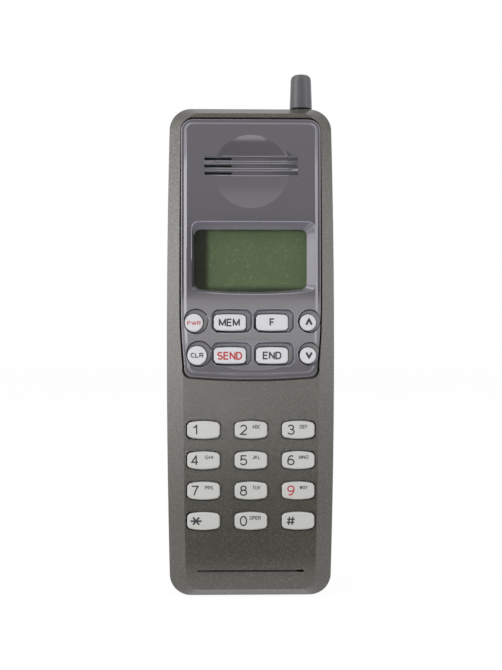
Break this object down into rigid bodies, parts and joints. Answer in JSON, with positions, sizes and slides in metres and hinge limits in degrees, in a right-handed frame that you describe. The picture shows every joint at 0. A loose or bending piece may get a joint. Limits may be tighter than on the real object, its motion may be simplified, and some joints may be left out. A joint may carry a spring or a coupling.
{
  "type": "handheld cellular telephone",
  "caption": "Slim upright handheld cellular telephone with a glossy faceplate, deep display window, push keys, pull-out whip antenna and slide-on battery.",
  "frame": {"origin": "bottom centre of the bounding box, where the telephone stands on its foot", "axes": "+Z from the foot to the top, -Y out of the front, +X to the right of someone looking at the front"},
  "size_m": [0.059, 0.0251, 0.1855],
  "materials": {
    "housing_grey": "fine sparkle texture, satin",
    "faceplate_gloss": "gloss",
    "clear_pane": "clear",
    "lcd_green": "satin",
    "light_guide": "frosted",
    "inner_plastic": "moulded",
    "board_green": "solder mask",
    "chip_black": "moulded",
    "tinned_steel": "tinned",
    "ceramic": "fired",
    "mat_rubber": "moulded silicone",
    "gold_contact": "plated",
    "antenna_plastic": "satin",
    "whip_steel": "plated",
    "dark_metal": "blackened",
    "battery_grey": "fine texture, satin",
    "cell_steel": "nickel plated",
    "catch_grey": "satin",
    "function_key": "satin",
    "number_key": "satin"
  },
  "bodies": {
    "handset": {"front_housing": "housing_grey", "rear_housing": "housing_grey", "faceplate": "faceplate_gloss", "display_window": "clear_pane", "lcd_panel": "lcd_green", "light_guide": "light_guide", "lcd_frame": "inner_plastic", "logic_board": "board_green", "logic_chips": "chip_black", "radio_board": "board_green", "radio_shield": "tinned_steel", "duplexer": "ceramic", "board_connector": "inner_plastic", "function_key_mat": "mat_rubber", "number_key_mat": "mat_rubber", "earpiece": "inner_plastic", "earpiece_gasket": "mat_rubber", "microphone": "tinned_steel", "microphone_boot": "mat_rubber", "ringer": "inner_plastic", "system_connector": "inner_plastic", "connector_contacts": "gold_contact", "antenna_bushing": "dark_metal", "antenna_guide": "inner_plastic", "antenna_feed": "gold_contact", "battery_springs": "gold_contact", "housing_screws": "whip_steel", "board_screws": "whip_steel"},
    "antenna": {"antenna_tip": "antenna_plastic", "antenna_whip": "whip_steel", "antenna_stop": "gold_contact"},
    "battery": {"battery_tray": "battery_grey", "battery_cover": "battery_grey", "battery_cells": "cell_steel", "battery_pads": "gold_contact"},
    "catch": {"battery_catch": "catch_grey", "catch_spring": "whip_steel"},
    "key_power": {"key_power": "function_key"},
    "key_memory": {"key_memory": "function_key"},
    "key_function": {"key_function": "function_key"},
    "key_up": {"key_up": "function_key"},
    "key_clear": {"key_clear": "function_key"},
    "key_send": {"key_send": "function_key"},
    "key_end": {"key_end": "function_key"},
    "key_down": {"key_down": "function_key"},
    "key_1": {"key_1": "number_key"},
    "key_2": {"key_2": "number_key"},
    "key_3": {"key_3": "number_key"},
    "key_4": {"key_4": "number_key"},
    "key_5": {"key_5": "number_key"},
    "key_6": {"key_6": "number_key"},
    "key_7": {"key_7": "number_key"},
    "key_8": {"key_8": "number_key"},
    "key_9": {"key_9": "number_key"},
    "key_star": {"key_star": "number_key"},
    "key_0": {"key_0": "number_key"},
    "key_hash": {"key_hash": "number_key"}
  },
  "joints": [
    {"name": "antenna_pull", "type": "slide", "parent": "handset", "child": "antenna", "axis": [0, 0, 1], "range_m": [0, 0.089]},
    {"name": "battery_slide", "type": "slide", "parent": "handset", "child": "battery", "axis": [0, 0, -1], "range_m": [0, 0.006]},
    {"name": "catch_press", "type": "slide", "parent": "handset", "child": "catch", "axis": [0, -1, 0], "range_m": [0, 0.001], "stiffness_N_per_m": 1500, "deforming": ["catch_spring"]},
    {"name": "key_power_press", "type": "slide", "parent": "handset", "child": "key_power", "axis": [0, 1, 0], "range_m": [0, 0.0007], "stiffness_N_per_m": 1800},
    {"name": "key_memory_press", "type": "slide", "parent": "handset", "child": "key_memory", "axis": [0, 1, 0], "range_m": [0, 0.0007], "stiffness_N_per_m": 1800},
    {"name": "key_function_press", "type": "slide", "parent": "handset", "child": "key_function", "axis": [0, 1, 0], "range_m": [0, 0.0007], "stiffness_N_per_m": 1800},
    {"name": "key_up_press", "type": "slide", "parent": "handset", "child": "key_up", "axis": [0, 1, 0], "range_m": [0, 0.0007], "stiffness_N_per_m": 1800},
    {"name": "key_clear_press", "type": "slide", "parent": "handset", "child": "key_clear", "axis": [0, 1, 0], "range_m": [0, 0.0007], "stiffness_N_per_m": 1800},
    {"name": "key_send_press", "type": "slide", "parent": "handset", "child": "key_send", "axis": [0, 1, 0], "range_m": [0, 0.0007], "stiffness_N_per_m": 1800},
    {"name": "key_end_press", "type": "slide", "parent": "handset", "child": "key_end", "axis": [0, 1, 0], "range_m": [0, 0.0007], "stiffness_N_per_m": 1800},
    {"name": "key_down_press", "type": "slide", "parent": "handset", "child": "key_down", "axis": [0, 1, 0], "range_m": [0, 0.0007], "stiffness_N_per_m": 1800},
    {"name": "key_1_press", "type": "slide", "parent": "handset", "child": "key_1", "axis": [0, 1, 0], "range_m": [0, 0.0007], "stiffness_N_per_m": 1800},
    {"name": "key_2_press", "type": "slide", "parent": "handset", "child": "key_2", "axis": [0, 1, 0], "range_m": [0, 0.0007], "stiffness_N_per_m": 1800},
    {"name": "key_3_press", "type": "slide", "parent": "handset", "child": "key_3", "axis": [0, 1, 0], "range_m": [0, 0.0007], "stiffness_N_per_m": 1800},
    {"name": "key_4_press", "type": "slide", "parent": "handset", "child": "key_4", "axis": [0, 1, 0], "range_m": [0, 0.0007], "stiffness_N_per_m": 1800},
    {"name": "key_5_press", "type": "slide", "parent": "handset", "child": "key_5", "axis": [0, 1, 0], "range_m": [0, 0.0007], "stiffness_N_per_m": 1800},
    {"name": "key_6_press", "type": "slide", "parent": "handset", "child": "key_6", "axis": [0, 1, 0], "range_m": [0, 0.0007], "stiffness_N_per_m": 1800},
    {"name": "key_7_press", "type": "slide", "parent": "handset", "child": "key_7", "axis": [0, 1, 0], "range_m": [0, 0.0007], "stiffness_N_per_m": 1800},
    {"name": "key_8_press", "type": "slide", "parent": "handset", "child": "key_8", "axis": [0, 1, 0], "range_m": [0, 0.0007], "stiffness_N_per_m": 1800},
    {"name": "key_9_press", "type": "slide", "parent": "handset", "child": "key_9", "axis": [0, 1, 0], "range_m": [0, 0.0007], "stiffness_N_per_m": 1800},
    {"name": "key_star_press", "type": "slide", "parent": "handset", "child": "key_star", "axis": [0, 1, 0], "range_m": [0, 0.0007], "stiffness_N_per_m": 1800},
    {"name": "key_0_press", "type": "slide", "parent": "handset", "child": "key_0", "axis": [0, 1, 0], "range_m": [0, 0.0007], "stiffness_N_per_m": 1800},
    {"name": "key_hash_press", "type": "slide", "parent": "handset", "child": "key_hash", "axis": [0, 1, 0], "range_m": [0, 0.0007], "stiffness_N_per_m": 1800}
  ],
  "couplings": [
    {"joint": "catch_press", "follows": "battery_slide", "ratio": 0.16667}
  ]
}
